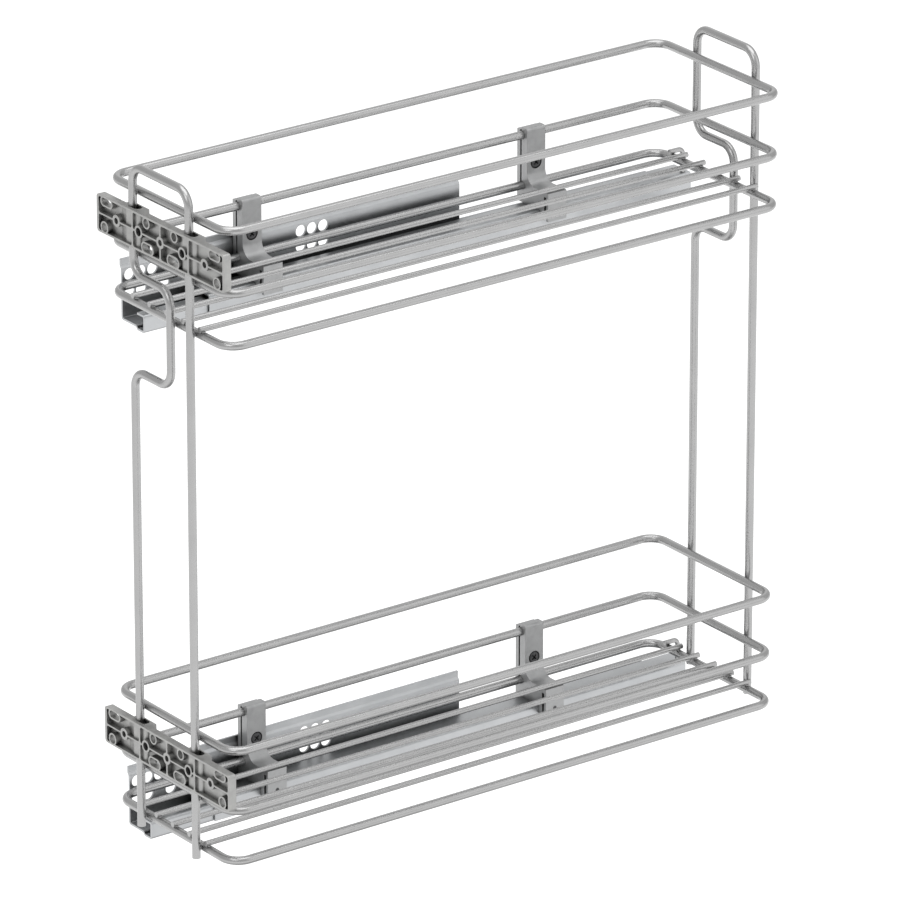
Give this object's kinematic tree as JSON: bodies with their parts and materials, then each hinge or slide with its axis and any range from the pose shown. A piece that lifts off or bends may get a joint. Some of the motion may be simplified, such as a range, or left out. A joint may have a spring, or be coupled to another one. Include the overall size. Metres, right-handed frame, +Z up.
{
  "type": "pull-out cabinet rack",
  "caption": "Pull-out wire rack for a narrow cabinet: stacked baskets on bent wire frames, full-extension runners on one side and ribbed brackets for the door.",
  "frame": {"origin": "middle of the lower runner's four front screw holes, on the back of its flange", "axes": "+X from the cabinet's side wall into the cabinet, the rack pulls out along -Y, +Z up"},
  "size_m": [0.1619, 0.494, 0.5126],
  "materials": {
    "wire": "satin grey chrome",
    "casting": "matte die cast",
    "clamp": "matte die cast",
    "screw": "black oxide",
    "rail": "zinc plated",
    "roller": "polished",
    "cage": "matte",
    "damper": "matte"
  },
  "bodies": {
    "cabinet": {"upper_cabinet_rail": "rail", "upper_damper": "damper", "upper_damper_rod": "roller", "lower_cabinet_rail": "rail", "lower_damper": "damper", "lower_damper_rod": "roller"},
    "rack": {"front_frame": "wire", "rear_frame": "wire", "upper_top_loop": "wire", "upper_middle_loop": "wire", "upper_floor_loop": "wire", "upper_floor_wires": "wire", "upper_door_bracket": "casting", "upper_front_clamp": "clamp", "upper_rear_clamp": "clamp", "upper_front_counter_plate": "clamp", "upper_rear_counter_plate": "clamp", "upper_clamp_screws": "screw", "upper_tab_screws": "screw", "upper_rear_hook": "wire", "upper_drawer_rail": "rail", "lower_top_loop": "wire", "lower_middle_loop": "wire", "lower_floor_loop": "wire", "lower_floor_wires": "wire", "lower_door_bracket": "casting", "lower_front_clamp": "clamp", "lower_rear_clamp": "clamp", "lower_front_counter_plate": "clamp", "lower_rear_counter_plate": "clamp", "lower_clamp_screws": "screw", "lower_tab_screws": "screw", "lower_rear_hook": "wire", "lower_drawer_rail": "rail"},
    "upper_middle": {"upper_middle_rail": "rail"},
    "upper_drawer_carriage": {"upper_drawer_rollers": "roller", "upper_drawer_roller_cage": "cage"},
    "upper_cabinet_carriage": {"upper_cabinet_rollers": "roller", "upper_cabinet_roller_cage": "cage"},
    "lower_middle": {"lower_middle_rail": "rail"},
    "lower_drawer_carriage": {"lower_drawer_rollers": "roller", "lower_drawer_roller_cage": "cage"},
    "lower_cabinet_carriage": {"lower_cabinet_rollers": "roller", "lower_cabinet_roller_cage": "cage"}
  },
  "joints": [
    {"name": "pull_out", "type": "slide", "parent": "cabinet", "child": "rack", "axis": [0, -1, 0], "range_m": [0, 0.44]},
    {"name": "upper_middle_slide", "type": "slide", "parent": "cabinet", "child": "upper_middle", "axis": [0, -1, 0], "range_m": [0, 0.22]},
    {"name": "upper_drawer_carriage_slide", "type": "slide", "parent": "cabinet", "child": "upper_drawer_carriage", "axis": [0, -1, 0], "range_m": [0, 0.33]},
    {"name": "upper_cabinet_carriage_slide", "type": "slide", "parent": "cabinet", "child": "upper_cabinet_carriage", "axis": [0, -1, 0], "range_m": [0, 0.11]},
    {"name": "lower_middle_slide", "type": "slide", "parent": "cabinet", "child": "lower_middle", "axis": [0, -1, 0], "range_m": [0, 0.22]},
    {"name": "lower_drawer_carriage_slide", "type": "slide", "parent": "cabinet", "child": "lower_drawer_carriage", "axis": [0, -1, 0], "range_m": [0, 0.33]},
    {"name": "lower_cabinet_carriage_slide", "type": "slide", "parent": "cabinet", "child": "lower_cabinet_carriage", "axis": [0, -1, 0], "range_m": [0, 0.11]}
  ],
  "couplings": [
    {"joint": "upper_middle_slide", "follows": "pull_out", "ratio": 0.5},
    {"joint": "upper_drawer_carriage_slide", "follows": "pull_out", "ratio": 0.75},
    {"joint": "upper_cabinet_carriage_slide", "follows": "pull_out", "ratio": 0.25},
    {"joint": "lower_middle_slide", "follows": "pull_out", "ratio": 0.5},
    {"joint": "lower_drawer_carriage_slide", "follows": "pull_out", "ratio": 0.75},
    {"joint": "lower_cabinet_carriage_slide", "follows": "pull_out", "ratio": 0.25}
  ]
}
